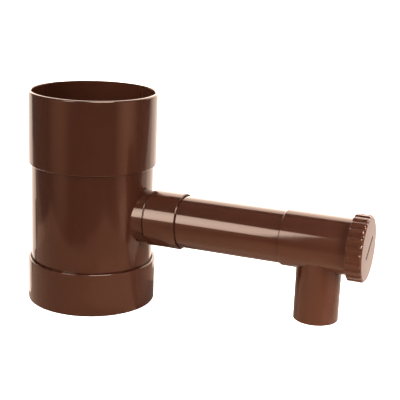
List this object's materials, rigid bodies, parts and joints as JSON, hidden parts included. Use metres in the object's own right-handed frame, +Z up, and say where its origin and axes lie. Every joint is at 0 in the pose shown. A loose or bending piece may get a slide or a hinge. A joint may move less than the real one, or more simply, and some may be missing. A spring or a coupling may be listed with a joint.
{
  "type": "rainwater diverter",
  "caption": "Plastic diverter that slips into a round downpipe, catches rainwater in an inner trough and leads it along a side branch to a spout, with a fluted screw cap at the end.",
  "frame": {"origin": "on the downpipe's axis, at the underside of the base ring", "axes": "+Z up the downpipe, +X along the side branch towards the screw cap"},
  "size_m": [0.2881, 0.1062, 0.1757],
  "materials": {
    "brown_pvc": "glossy moulded plastic, chocolate brown",
    "black_rubber": "matt black rubber"
  },
  "bodies": {
    "diverter": {"diverter_body": "brown_pvc", "collector_base": "brown_pvc", "branch_coupling": "brown_pvc", "branch_pipe": "brown_pvc", "outlet_tee": "brown_pvc"},
    "seal": {"cap_seal": "black_rubber"},
    "cap": {"screw_cap": "brown_pvc"}
  },
  "joints": [
    {"name": "cap_travel", "type": "slide", "parent": "diverter", "child": "seal", "axis": [1, 0, 0], "range_m": [0, 0.0091]},
    {"name": "cap_turn", "type": "hinge", "parent": "seal", "child": "cap", "pos_m": [0.23, 0, 0.0765], "axis": [1, 0, 0], "range_deg": [0, 1080]}
  ],
  "couplings": [
    {"joint": "cap_travel", "follows": "cap_turn", "m_per_rad": 0.00047746}
  ]
}
